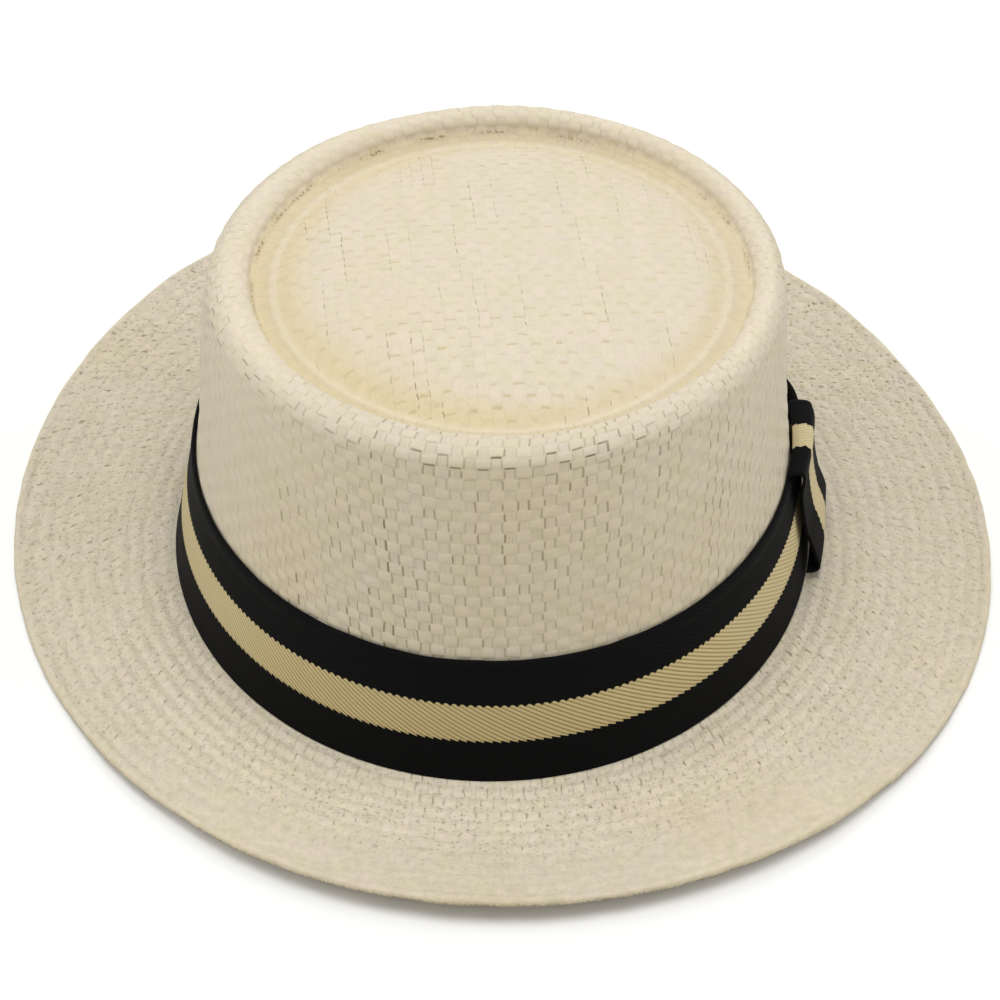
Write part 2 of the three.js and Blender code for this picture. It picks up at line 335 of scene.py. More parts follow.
# %% [markdown]
# ## Crown
#
# The section is a chain of edges in the XZ plane with both ends on the axis. Spin copies it round and
# joins the last copy to the first. A number kept on each vertex says which ring it came from.

# %% Spin and set on the ovals
CROWN_STEPS = WALL_COLUMNS * 4


def spun(points, steps, closed=False):
    """A chain of (radius, height) points turned full circle about Z.

    With the mesh come each vertex's place in the chain, its position and its turn about Z.
    """
    bm = bmesh.new()
    station = bm.verts.layers.float.new("station")
    verts = [bm.verts.new((x, 0, z)) for x, z in points]
    for k, v in enumerate(verts):
        v[station] = k
    chain = [bm.edges.new(pair) for pair in zip(verts, verts[1:])]
    if closed:
        chain.append(bm.edges.new((verts[-1], verts[0])))
    bmesh.ops.spin(
        bm, geom=verts + chain, cent=(0, 0, 0), axis=(0, 0, 1), angle=math.tau, steps=steps,
        use_merge=True, use_duplicate=False,
    )
    bmesh.ops.remove_doubles(bm, verts=bm.verts, dist=1e-7)
    bmesh.ops.recalc_face_normals(bm, faces=bm.faces)
    ring = np.array([round(v[station]) for v in bm.verts])
    where = np.array([v.co for v in bm.verts])
    return bm, ring, where, np.arctan2(where[:, 1], where[:, 0])


def directions(bm):
    bm.normal_update()
    return np.array([v.normal for v in bm.verts])


def put(bm, points):
    for v, p in zip(bm.verts, points):
        v.co = p


bm, ring, where, turn = spun([(r[:2].mean(), r[HEIGHT]) for r in section], CROWN_STEPS)
where[:, :2] = on_ovals(section[ring], turn)
put(bm, where)
print(f"crown: {len(bm.verts)} vertices in {ring.max() + 1} rings")

# %% [markdown]
# On the wall the rows of the weave sag a little towards the sides and the upright strips lean, because
# the cloth was pulled down over the block from the top. On the tip the strips stay straight, and near
# its front edge the rows bend and stand up as soft ridges.

# %% Strip counts on the crown
SAG = 5.5 * MM
SAG_TURN = math.radians(95)
UPRIGHT_PITCH = 3.7 * MM
TIP_ROW = 3.45 * MM
TIP_SLANT = math.tan(math.radians(5.4))

outside = ring >= len(inner)
section_run = np.concatenate([np.interp(kept, np.arange(len(outer)), run)[::-1], run])
below_crest = crest - section_run[ring]
sag = SAG * (1 - np.cos(2 * (turn + SAG_TURN)))
lean = 0.05 - 0.23 * np.cos(turn)
wall_across = turn * WALL_COLUMNS / math.tau - lean * below_crest / UPRIGHT_PITCH
wall_along = -(below_crest + sag * ease(below_crest, -4 * MM, 12 * MM)) / WALL_ROW

x, y = where[:, 0] / MM, where[:, 1] / MM
front_bend = 0.0046 * ease(-y, 25, 50) * x ** 2
tip_across = (x + y * TIP_SLANT) * MM / TIP_COLUMN
tip_rows = (y - x * TIP_SLANT + front_bend) * MM / TIP_ROW
tip_along = tip_rows + 0.005 * tip_rows ** 2
on_tip = ring >= len(inner) + tip_start
print("rows down the wall:", round(float(-wall_along[outside].min())))

# %% Relief of the crown
# how far each thing stands out
WALL_BLOCKS, WALL_ROWS = 0.10 * MM, 0.04 * MM
TIP_BLOCKS, TIP_RIDGES = 0.07 * MM, 0.22 * MM
DENTS, CRINKLES = 0.25 * MM, 0.22 * MM
BLOCK_SHARPNESS = 1.6

inside_tip = 1 - np.hypot(
    (where[:, 0] - groove_end[MIDDLE_X]) / groove_end[HALF_WIDTH],
    (where[:, 1] - groove_end[MIDDLE_Y]) / groove_end[HALF_LENGTH],
)
showing = outside * ease(where[:, 2], BAND_TOP - 0.8 * MM, BAND_TOP + 0.6 * MM)
uneven = wander(where, 55, 1)
in_groove = ease(section_run[ring], run[crease] - 2 * MM, run[crease]) * ~on_tip
wall_relief = WALL_BLOCKS * chequer(wall_across, wall_along, BLOCK_SHARPNESS)
wall_relief += WALL_ROWS * np.cos(math.tau * wall_along)
wall_relief *= 1 - 0.5 * in_groove
tip_relief = TIP_BLOCKS * -chequer(tip_across, tip_along, BLOCK_SHARPNESS)
ridges = ease(-y, 30, 46) * ease(inside_tip, 0.0, 0.05) * ease(60 - abs(x), 12, 30)
tip_relief += TIP_RIDGES * ridges * np.cos(math.tau * tip_along)
tip_relief *= ease(inside_tip, 0.0, 0.04)
crinkled = hump(section_run[ring], run[crease], 2.5 * MM)
relief = np.where(on_tip, tip_relief, wall_relief) + DENTS * uneven
relief += CRINKLES * crinkled * wander(where, 150, 18)
where = where + directions(bm) * (relief * showing)[:, None]
put(bm, where)
print(f"relief from {relief.min() / MM:.2f} to {relief.max() / MM:.2f} mm")

# %% [markdown]
# The strip counts go onto the mesh as a UV map. Round the wall the count jumps from its last strip back
# to its first, so the faces on that line get the count carried on past the end.

# %% Write the strip counts
def numbers_of(items, name):
    found = np.empty(len(items), np.int32)
    items.foreach_get(name, found)
    return found


def corners_of(mesh):
    """Each face corner's vertex, its face, and its face's first vertex."""
    vertex = numbers_of(mesh.loops, "vertex_index")
    first = numbers_of(mesh.polygons, "loop_start")
    face = np.repeat(np.arange(len(first)), numbers_of(mesh.polygons, "loop_total"))
    return vertex, face, vertex[first][face]


def carried_on(counts, mesh, columns):
    """Counts for each face corner, carried on past the last strip instead of starting again."""
    vertex, face, first = corners_of(mesh)
    return counts[vertex] - columns * np.round((counts[vertex] - counts[first]) / columns)


def write_strips(mesh, across, along):
    layer = mesh.uv_layers.new(name="strips")
    layer.uv.foreach_set("vector", np.stack([across, along], 1).astype(np.float32).ravel())


def write_strips_round(mesh, across, along, columns):
    """Counts for each vertex, where they run all the way round."""
    write_strips(mesh, carried_on(across, mesh, columns), along[corners_of(mesh)[0]])


def write_number(mesh, name, values):
    """A number for each vertex, which a material can read by name."""
    made = mesh.attributes.new(name, "FLOAT", "POINT")
    made.data.foreach_set("value", values.astype(np.float32))


def triangles(made):
    return sum(len(p.vertices) - 2 for p in made.data.polygons)


# %% Strip counts onto the crown
crown = new_mesh_object("straw_crown", bm)
corner, corner_face, _ = corners_of(crown.data)
lowest = np.full(len(crown.data.polygons), len(section))
np.minimum.at(lowest, corner_face, ring[corner])
tip_face = lowest >= len(inner) + tip_start - 1
corner_on_tip = tip_face[corner_face]
write_strips(
    crown.data,
    np.where(corner_on_tip, tip_across[corner], carried_on(wall_across, crown.data, WALL_COLUMNS)),
    np.where(corner_on_tip, tip_along[corner], wall_along[corner]),
)
crown.data.polygons.foreach_set("material_index", tip_face.astype(np.int32))
print(f"crown: {triangles(crown)} triangles, {tip_face.sum()} faces in the tip")

# %% [markdown]
# The straw isn't the same all over, so each vertex also gets a few numbers that the material reads by
# name. The groove is warmer, most of all at the front left, partly in the straw's own colour and partly
# as painted warm shade of light bounced inside it, and the wall that faces the front gets painted warm
# shade. The crease holds a broken dark line of painted shade. The slits are open more in some places than
# in others and less on the lip. The lip and the ridge in the groove get painted light, as does the crease
# at the sides. At the front left of the shoulder the slits gape.

# %% Marks on the crown
RIDGE_PAST_CREASE = 5.2 * MM
past_crease = section_run[ring] - run[crease]
frontward = -np.sin(turn)
toward_front_left = 0.5 - 0.5 * np.cos(turn - math.radians(45))
# the groove's warmth: partly the straw's own colour, partly painted warm shade of light bounced inside it
warmth_and_warm_shade = ease(past_crease, -2.2 * MM, -0.3 * MM)
warmth_and_warm_shade *= 1 - ease(past_crease, 7 * MM, 11 * MM + 9 * MM * toward_front_left)
warmth_and_warm_shade *= 1 - 0.6 * hump(past_crease, RIDGE_PAST_CREASE, 1.6 * MM)
warmth_and_warm_shade *= (0.62 + 0.38 * toward_front_left) * outside
# painted warm shade on the wall that faces the front
facing_front = ease(frontward, 0.3, 0.8) * ease(below_crest, 2 * MM, 8 * MM)
write_number(crown.data, "warmth_and_warm_shade", warmth_and_warm_shade + 0.25 * facing_front * outside)
# a broken dark line of painted shade along the crease
broken = np.clip(0.55 + 0.8 * wander(where, 160, 15), 0, 1)
write_number(crown.data, "crease", hump(past_crease, -0.6 * MM, 0.5 * MM) * outside * broken)
slits = np.clip(0.80 + 0.6 * wander(where, 24, 5), 0.2, 1.2)
on_lip = ease(-below_crest, -4 * MM, 0) * (past_crease < 0)
slits *= 1 - on_lip * (0.55 - 0.45 * ease(frontward, 0.3, 0.8))
write_number(crown.data, "slits", np.where(outside, slits * (1 - 0.75 * in_groove), 0.3))
# painted light: lighter on the lip, on the ridge in the groove and in the crease at the sides, where it
# stands in for light that the lip keeps off
in_crease = hump(past_crease, 0.8 * MM, 2.6 * MM) * ease(abs(np.cos(turn)), 0.2, 0.8)
painted_light = on_lip * (0.85 - 0.5 * ease(frontward, 0.4, 0.9))
painted_light += (0.7 * in_crease + 0.6 * hump(past_crease, RIDGE_PAST_CREASE, 1.5 * MM)) * outside
write_number(crown.data, "painted_light", painted_light)
front_left = ease(np.cos(turn + math.radians(118)), 0.15, 0.75)
shoulder = hump(below_crest, 4.8 * MM, 3.2 * MM) * front_left
write_number(crown.data, "shoulder", shoulder * np.clip(0.85 + 0.5 * wander(where, 60, 16), 0, 1))
print("marks on the crown:", [a.name for a in crown.data.attributes if a.data_type == "FLOAT"])

# %% [markdown]
# ## Brim
#
# The brim is one closed section, the top face out, the turned edge and the underside back in, spun and
# then pulled out to its wavy edge. It lies level at the sides, where it rests, and curls up a little in
# front and more behind. Here too the spin makes the rings and the ovals come after.

# %% Shape of the brim
BRIM_REST = 1.05 * MM
FRONT_LIFT = 4.9 * MM
BACK_LIFT = 11.8 * MM
FRONT_LIFT_START = 0.4
BACK_LIFT_START = 0.3
LIFT_POWER = 1.7
CURL_POWER = 1.8
SETTLED_BY = 0.9
BRIM_FOOT_TOP = 2.2 * MM
GAP = 0.3 * MM
HEM_WIDTH = 2.4 * MM
HEM_THICKNESS = 2.1 * MM
HEM_STEP = 0.8 * MM
FOOT_OVAL = grown(wall_levels[0, [1, 2, 3, 4, 0]], FOOT_RADIUS + GAP)
EDGE_OVAL = np.array([84.5, 101.5, -2.2, 0.4, 0.0]) * MM

# (turns round the hat, cosine part, sine part) of the edge's distance beyond an oval, in millimetres
EDGE_WAVES = [
    (0, 50.5, 0.0), (1, 1.8, 1.7), (2, -0.8, -2.9), (3, 0.8, 1.8), (4, -0.9, 0.2), (5, -0.3, -0.5),
]


def brim_edge(turn):
    past = MM * sum(c * np.cos(n * turn) + s * np.sin(n * turn) for n, c, s in EDGE_WAVES)
    return on_ovals(EDGE_OVAL, turn, past)


def lift(amount, start):
    return np.maximum(0, (amount - start) / (1 - start)) ** LIFT_POWER


def brim_height(turn, share):
    """Middle of the straw's thickness at a share of the way from the foot to the edge."""
    curl = FRONT_LIFT * lift(-np.sin(turn), FRONT_LIFT_START)
    curl = curl + BACK_LIFT * lift(np.sin(turn), BACK_LIFT_START)
    foot = BRIM_FOOT_TOP - STRAW / 2
    level = foot + (BRIM_REST - foot) * ease(share, 0, SETTLED_BY)
    return level + curl * np.maximum(share, 0) ** CURL_POWER


# %% Section of the brim
TOP_RINGS = 54
FLAT_UNTIL = 4.0 * MM
MEAN_FOOT = 95.5 * MM
turns = np.linspace(-math.pi, math.pi, 721)[:-1]
widths = np.linalg.norm(brim_edge(turns) - on_ovals(FOOT_OVAL, turns), axis=1)
print(f"brim width {widths.min() / MM:.1f} to {widths.max() / MM:.1f} mm, mean {widths.mean() / MM:.1f}")

# each ring: share of the width, distance back from there, height above the middle
flat_share = 1 - FLAT_UNTIL / widths.mean()
flat_rings = [(f, 0.0, STRAW / 2) for f in np.linspace(0, 1, TOP_RINGS) * flat_share]
hem_rings = [
    (1, HEM_WIDTH + HEM_STEP, STRAW / 2),
    (1, HEM_WIDTH + 0.25 * HEM_STEP, 0.85 * HEM_THICKNESS / 2),
    (1, HEM_WIDTH - 0.3 * MM, HEM_THICKNESS / 2),
    (1, 1.6 * MM, HEM_THICKNESS / 2),
    (1, 1.1 * MM, 0.99 * HEM_THICKNESS / 2),
    (1, 0.7 * MM, 0.93 * HEM_THICKNESS / 2),
    (1, 0.3 * MM, 0.75 * HEM_THICKNESS / 2),
    (1, 0.1 * MM, 0.45 * HEM_THICKNESS / 2),
]
upper = flat_rings + hem_rings
lower = [(f, back, -above) for f, back, above in reversed(upper)]
brim_section = np.array(upper + [(1, 0.0, 0.0)] + lower)
print(f"{len(brim_section)} rings, of which {len(hem_rings)} round each face of the turned edge")

# %% Spin the brim and pull it out to its edge
radius = MEAN_FOOT + brim_section[:, 0] * widths.mean() - brim_section[:, 1]
profile = list(zip(radius, brim_section[:, 2]))
bm, ring, where, turn = spun(profile, BRIM_COLUMNS * 2, closed=True)
foot, edge = on_ovals(FOOT_OVAL, turn), brim_edge(turn)
width = np.linalg.norm(edge - foot, axis=1)
share = brim_section[ring, 0] - brim_section[ring, 1] / width
where[:, :2] = foot + (edge - foot) * share[:, None]
where[:, 2] = brim_height(turn, share) + brim_section[ring, 2]
put(bm, where)
print(f"brim: {len(bm.verts)} vertices")

# %% [markdown]
# On the brim each row is a rounded ridge, and the strips that cross it pull it down at every second
# one. The crossing strips don't fan out quite as far as the brim does: they stay turned a little towards
# the hat's long axis. The pressing has flattened the rows near the front edge, and they stand up most at
# the sides.

# %% Relief of the brim
BRIM_ROWS, BRIM_BLOCKS = 0.19 * MM, 0.06 * MM
FUZZ, HEM_WAVES, WARP = 0.10 * MM, 0.12 * MM, 0.25 * MM
SWIRL, SWIRL_REACH = 0.62, 95 * MM

frontward = -np.sin(turn)
distance = share * width
from_front = np.arctan2(np.cos(turn), frontward)
swirl = SWIRL * np.sin(from_front) * np.log1p(np.maximum(distance, 0) / SWIRL_REACH)
brim_across = (turn + swirl) * BRIM_COLUMNS / math.tau
brim_along = distance / BRIM_ROW + 0.25 * np.sin(2 * turn + 0.6) + 0.12 * wander(where, 30, 3)
from_hem = distance - (width - HEM_WIDTH - HEM_STEP)
before_hem = 1 - 0.6 * ease(from_hem, -1 * MM, 1 * MM)
pressed = ease(frontward, 0.45, 0.9) * ease(distance, 18 * MM, 40 * MM)
on_top = ring < len(upper)
standing = before_hem * (1 - 0.75 * pressed) * (1 + 0.35 * wander(where, 22, 4))
row_relief = BRIM_ROWS * np.cos(math.tau * brim_along)
row_relief += BRIM_BLOCKS * chequer(brim_across, brim_along, 1.0)
row_relief += FUZZ * wander(where, 300, 14) * wander(where, 60, 17)
hem_wave = HEM_WAVES * (wander(where, 90, 6) + wander(where, 260, 7))
on_hem = ease(from_hem, -0.5 * MM, 0.5 * MM)
settle = ease(distance, 0.3 * MM, 2.0 * MM)
relief = row_relief * standing + hem_wave * on_hem
relief = relief * settle + WARP * wander(where, 35, 8) * settle * on_top
under = (brim_section[ring, 2] < -0.1 * MM) & (where[:, 2] < 1.6 * MM)
relief = np.where(under, np.minimum(relief, 0.0), relief)
where = where + directions(bm) * relief[:, None]
where[:, 2] = np.maximum(where[:, 2], 0.0)
put(bm, where)
brim = new_mesh_object("straw_brim", bm)
write_strips_round(brim.data, brim_across, brim_along, BRIM_COLUMNS)
print(f"brim: {triangles(brim)} triangles, relief to {relief.max() / MM:.2f} mm")

# %% [markdown]
# The brim's own marks: the very edge is warmer, with a line of painted shadow under it. Most slits are
# shut where the rows are pressed flat and on the turned edge, and near the foot at the front they are wide
# cracks. The front gets painted light, most of all there, and so does the back, a little.

# %% Marks on the brim
write_number(brim.data, "warmth_and_warm_shade", 0.40 * ease(distance, width - 1.2 * MM, width - 0.2 * MM))
# a line of painted shadow under the turned edge
shade_under_hem = hump(brim_section[ring, 2], -0.6 * MM, 0.5 * MM) * ease(distance, width - 1.5 * MM, width)
write_number(brim.data, "crease", shade_under_hem)
smooth_edge = 1 - ease(distance, width - 1.6 * MM, width - 0.6 * MM)
open_weave = np.clip(1.0 - 0.85 * pressed + 0.4 * wander(where, 20, 9), 0.1, 1.3)
write_number(brim.data, "slits", open_weave * smooth_edge)
cracks = (1 - ease(distance, 5 * MM, 17 * MM)) * ease(frontward, 0.2, 0.8) * ease(distance, 0, 1 * MM)
write_number(brim.data, "cracks", cracks)
# painted light on the front, most of all near the foot, and a little on the back
painted_light = 0.33 * ease(frontward, -0.1, 0.5) + 0.10 * ease(frontward, 0.5, 0.9)
painted_light += 0.12 * ease(-frontward, 0.2, 0.8)
painted_light += 0.5 * ease(frontward, 0.3, 0.8) * (1 - ease(distance, 15 * MM, 35 * MM))
write_number(brim.data, "painted_light", painted_light)
print("marks on the brim:", [a.name for a in brim.data.attributes if a.data_type == "FLOAT"])

# %% [markdown]
# ## Ribbon
#
# The hatband is woven ribbon, pulled round the foot of the crown. It is a closed thin section, spun and
# set on the same ovals as the wall behind it. Its top edge is turned in, so the last few millimetres
# are a double layer, and that edge isn't quite even. It flares a little onto the brim at its foot, and
# beside the wrap its upper edge is pulled off the crown.

# %% Hatband
BAND_BOTTOM = 2.4 * MM
BAND_THICKNESS = 1.0 * MM
BAND_WIDTH = BAND_TOP - BAND_BOTTOM
FOLD = 3.6 * MM
SINGLE_LAYER = BAND_THICKNESS - 0.22 * MM
ROUND_OFF = 0.35 * MM
BACK_RING = 22 * MM
WRAP_FRONT = -24.6 * MM
WRAP_BACK = 8.7 * MM


def band_face(height, outward):
    return grown(wall_ring(height), GAP + outward)


face_heights = np.concatenate([
    np.linspace(BAND_BOTTOM + ROUND_OFF, BAND_TOP - FOLD, 26),
    [BAND_TOP - FOLD + ROUND_OFF, BAND_TOP - FOLD * 0.5, BAND_TOP - ROUND_OFF],
])
band_rings = [band_face(BAND_BOTTOM, 0.85 * BAND_THICKNESS)]
for z in face_heights:
    band_rings.append(band_face(z, BAND_THICKNESS if z > BAND_TOP - FOLD else SINGLE_LAYER))
band_rings.append(band_face(BAND_TOP, 0.55 * BAND_THICKNESS))
band_rings += [band_face(z, 0.0) for z in (BAND_TOP - ROUND_OFF, BACK_RING, BAND_BOTTOM + ROUND_OFF)]
band_rings = np.array(band_rings)
print(f"{len(band_rings)} rings, double over the top {FOLD / MM:.1f} mm")

# %% Spin the hatband and set it on the ovals
FLARE = 0.30 * MM
LOOSENESS = 3.0 * MM

profile = [(r[:2].mean(), r[HEIGHT]) for r in band_rings]
bm, ring, where, turn = spun(profile, 360, closed=True)
rows = band_rings[ring]
round_the_hat = np.stack([np.cos(turn), np.sin(turn), 0 * turn], 1)
top_part = ease(rows[:, HEIGHT], BAND_TOP - 2 * FOLD, BAND_TOP)
ripple = 0.16 * MM * wander(round_the_hat, 9, 11) + 0.10 * MM * wander(round_the_hat, 26, 12)
flare = FLARE * (1 - ease(rows[:, HEIGHT], BAND_BOTTOM, BAND_BOTTOM + 4 * MM))
beside = rows[:, HALF_LENGTH] * np.sin(turn) - WRAP_BACK
loose = ease(beside, -30 * MM, 0) * (1 - ease(beside, 6 * MM, 27 * MM)) * (np.cos(turn) > 0)
flare = flare + LOOSENESS * loose * ease(rows[:, HEIGHT], 8 * MM, BAND_TOP)
where[:, :2] = on_ovals(rows, turn, flare)
where[:, 2] = rows[:, HEIGHT] + ripple * top_part
put(bm, where)
hatband = new_mesh_object("ribbon_hatband", bm)
print(f"hatband: {triangles(hatband)} triangles")

# %% [markdown]
# The hatband's UV map counts the ribbon's cords along it. A whole number of cords has to fit round the
# hat, or the pattern would break where it meets itself, so the cord is stretched until one does.

# %% Cord counts on the hatband
BAND_MIDDLE = 19 * MM
CORD_WISHED = 2.1 * MM

all_round = np.linspace(-math.pi, math.pi, 2881)
path_run = run_along(on_ovals(band_face(BAND_MIDDLE, BAND_THICKNESS), all_round))
BAND_LENGTH = path_run[-1]
TOOTH = BAND_LENGTH / round(BAND_LENGTH / CORD_WISHED)
band_across = np.interp(turn, all_round, path_run) / TOOTH
band_along = (rows[:, HEIGHT] - BAND_BOTTOM) / BAND_WIDTH
write_strips_round(hatband.data, band_across, band_along, BAND_LENGTH / TOOTH)
# fewer cords show towards the sides, where a paler beige stands in as painted sheen of the ribbon seen at
# a slant
write_number(hatband.data, "cords", 0.50 + 0.50 * ease(-np.sin(turn), 0.50, 0.88))
print(f"{BAND_LENGTH / MM:.0f} mm round, {BAND_WIDTH / MM:.1f} wide, a cord every {TOOTH / MM:.2f}")

# %% [markdown]
# ## Wrap
#
# Where the ribbon's ends meet, a short piece of the same ribbon is wrapped upright round the band. It
# rolls over the band's top edge, stands away from it and curls in again at the foot. Its front edge lies
# close to the band and it bulges out towards the back.
#
# One curve is drawn for that sheet, over the roll and down to its foot, and extruded along the band in
# short steps. Each point then stands off the band by what the curve says times a bulge, which a table
# gives for the front and the back edge and which changes smoothly between them. The thickness comes
# last, so both faces follow the same fold.

# %% Curve of the wrap's sheet
# (how far it stands off the band's outer face, height), in millimetres
wrap_points = np.array([
    (-0.4, 36.9), (1.4, 37.7), (3.5, 37.3), (4.6, 34.9), (4.5, 28.2),
    (5.0, 18.0), (5.0, 10.0), (4.5, 6.6), (3.2, 4.7), (0.8, 4.3),
]) * MM
# (millimetres along the curve, the bulge at the front edge, the bulge at the back edge)
wrap_bulges = np.array([
    (0, 1.0, 1.0), (4, 1.0, 1.64), (12, 0.52, 1.50), (19, 0.42, 1.28), (24, 0.42, 1.24),
    (28, 0.62, 1.42), (31, 0.72, 1.52), (33, 0.85, 1.44), (36, 1.10, 1.12), (40, 1.0, 1.0),
])
WRAP_STEPS = 36
WRAP_CLOSE = 0.9 * MM
WRAP_THICKNESS = 0.8 * MM
WRAP_UNEVEN = 0.25 * MM
BACK_POWER = 1.4


def smooth_curve(points, steps):
    """Points along a smooth curve through the given ones (Catmull-Rom)."""
    ends = np.concatenate([[2 * points[0] - points[1]], points, [2 * points[-1] - points[-2]]])
    curve = []
    for a, b, c, d in zip(ends, ends[1:], ends[2:], ends[3:]):
        for t in np.linspace(0, 1, steps, endpoint=False):
            curve.append(0.5 * (2 * b + (c - a) * t + (2 * a - 5 * b + 4 * c - d) * t ** 2
                                + (3 * b - a - 3 * c + d) * t ** 3))
    return np.array(curve + [points[-1]])


curve = smooth_curve(wrap_points, 6)
curve_run = run_along(curve)
print(f"the wrap's sheet is {curve_run[-1] / MM:.0f} mm long and {(WRAP_BACK - WRAP_FRONT) / MM:.1f} wide")

# %% Extrude it along the band
bm = bmesh.new()
along_curve = bm.verts.layers.float.new("along_curve")
along_band = bm.verts.layers.float.new("along_band")
verts = [bm.verts.new((off, 0, z)) for off, z in curve]
for k, v in enumerate(verts):
    v[along_curve] = k
edges = [bm.edges.new(pair) for pair in zip(verts, verts[1:])]
for step in range(1, WRAP_STEPS + 1):
    made = bmesh.ops.extrude_edge_only(bm, edges=edges)["geom"]
    edges = [e for e in made if isinstance(e, bmesh.types.BMEdge)]
    for v in (e for e in made if isinstance(e, bmesh.types.BMVert)):
        v.co.y = step
        v[along_band] = step
for v in bm.verts:
    step, k = round(v[along_band]), round(v[along_curve])
    y = WRAP_FRONT + (WRAP_BACK - WRAP_FRONT) * step / WRAP_STEPS
    off, z = curve[k]
    far = step / WRAP_STEPS
    at_front = np.interp(curve_run[k] / MM, wrap_bulges[:, 0], wrap_bulges[:, 1])
    at_back = np.interp(curve_run[k] / MM, wrap_bulges[:, 0], wrap_bulges[:, 2])
    closing = 0.5 * ease(far, 0.93, 1.0) * ease(curve_run[k], 4 * MM, 12 * MM)
    bulge = (at_front + (at_back - at_front) * far ** BACK_POWER) * (1 - closing)
    off = WRAP_CLOSE + (off - WRAP_CLOSE) * bulge
    off += WRAP_UNEVEN * noise.noise(Vector((far * 3, k * 0.06, 2))) * ease(far, 0, 0.3)
    z += WRAP_UNEVEN * noise.noise(Vector((far * 2.5, 9, 4))) * (1 - k / len(curve))
    row = band_face(min(z, BAND_TOP), BAND_THICKNESS + off)
    angle = math.asin((y - row[MIDDLE_Y]) / row[HALF_LENGTH])
    v.co = (row[MIDDLE_X] + row[HALF_WIDTH] * math.cos(angle), y, z)
print(f"wrap: {len(bm.faces)} faces before it has a thickness")

# %% Give the wrap its thickness
bmesh.ops.recalc_face_normals(bm, faces=bm.faces)
bmesh.ops.solidify(bm, geom=bm.faces[:], thickness=WRAP_THICKNESS)
bmesh.ops.recalc_face_normals(bm, faces=bm.faces)
wrap_across = np.array([curve_run[round(v[along_curve])] for v in bm.verts]) / TOOTH
wrap_along = 1 - np.array([v[along_band] for v in bm.verts]) / WRAP_STEPS
wrap = new_mesh_object("ribbon_wrap", bm)
corner = corners_of(wrap.data)[0]
write_strips(wrap.data, wrap_across[corner], wrap_along[corner])
# the wrap shows few cords, so it takes the paler beige of painted sheen
write_number(wrap.data, "cords", np.full(len(wrap.data.vertices), 0.2))
print(f"wrap: {triangles(wrap)} triangles")

# %% [markdown]
# ## Straw
#
# The straw is cream paper strip, a little glossy where it is smooth. One recipe makes it for the wall,
# the tip and the brim, because only the proportions of the chequer change. The recipe finds which strip
# and which row a point is on, and from that whether the strip on top runs along the row. From how far
# the point is from the end of that block it draws the dark slit, and every slit has its own strength.
# Such sums take many small nodes, so the first cell makes a helper that writes them.

# %% A small calculator for shader nodes
class Sums:
    """Adds math nodes to a material. Numbers, sockets and earlier results can all be inputs."""

    def __init__(self, material):
        self.tree = material.node_tree

    def node(self, kind, **settings):
        made = self.tree.nodes.new(kind)
        for name, value in settings.items():
            setattr(made, name, value)
        return made

    def feed(self, socket, value):
        if isinstance(value, bpy.types.NodeSocket):
            self.tree.links.new(value, socket)
        else:
            socket.default_value = value

    def math(self, operation, *values):
        made = self.node("ShaderNodeMath", operation=operation)
        for socket, value in zip(made.inputs, values):
            self.feed(socket, value)
        return made.outputs[0]

    def add(self, a, b):
        return self.math("ADD", a, b)

    def less(self, a, b):
        return self.math("SUBTRACT", a, b)

    def times(self, a, b):
        return self.math("MULTIPLY", a, b)

    def step(self, value, low, high, from_value=0.0, to_value=1.0):
        """A smooth step between two places."""
        made = self.node("ShaderNodeMapRange", interpolation_type="SMOOTHSTEP")
        for name, number in (("Value", value), ("From Min", low), ("From Max", high),
                             ("To Min", from_value), ("To Max", to_value)):
            self.feed(made.inputs[name], number)
        return made.outputs["Result"]

    def place(self, x, y, z=0.0):
        made = self.node("ShaderNodeCombineXYZ")
        for socket, value in zip(made.inputs, (x, y, z)):
            self.feed(socket, value)
        return made.outputs[0]

    def random(self, x, y, z=0.0):
        """A number from 0 to 1, the same wherever x, y and z are the same."""
        made = self.node("ShaderNodeTexWhiteNoise", noise_dimensions="3D")
        self.feed(made.inputs["Vector"], self.place(x, y, z))
        return made.outputs["Value"]

    def cloud(self, vector, scale, detail=2.0, output="Fac"):
        """Soft noise: one number, or three in the output called Color."""
        made = self.node("ShaderNodeTexNoise")
        self.feed(made.inputs["Vector"], vector)
        made.inputs["Scale"].default_value = scale
        made.inputs["Detail"].default_value = detail
        return made.outputs[output]

    def two(self, vector):
        made = self.node("ShaderNodeSeparateXYZ")
        self.feed(made.inputs[0], vector)
        return made.outputs[0], made.outputs[1]

    def number(self, name):
        return self.node("ShaderNodeAttribute", attribute_name=name).outputs["Fac"]

    def blend(self, amount, one, other, how="MIX"):
        made = self.node("ShaderNodeMix", data_type="RGBA", blend_type=how)
        self.feed(made.inputs["Factor"], amount)
        self.feed(made.inputs["A"], one)
        self.feed(made.inputs["B"], other)
        return made.outputs["Result"]

    def bump(self, shader, height, strength, distance):
        made = self.node("ShaderNodeBump")
        made.inputs["Strength"].default_value = strength
        made.inputs["Distance"].default_value = distance
        self.feed(made.inputs["Height"], height)
        self.feed(shader.inputs["Normal"], made.outputs["Normal"])


def new_material(name):
    material = bpy.data.materials.new(name)
    material.use_nodes = True
    shader = material.node_tree.nodes["Principled BSDF"]
    return material, shader, Sums(material)


def rgb(red, green, blue):
    """A colour written as a paint chip would be, 0 to 255, made linear for the shader."""
    parts = [c / 255 for c in (red, green, blue)]
    return tuple(c / 12.92 if c <= 0.04045 else ((c + 0.055) / 1.055) ** 2.4 for c in parts) + (1,)


# %% Where a point is in the weave
COARSE_DRIFT, FINE_DRIFT = 160.0, 620.0


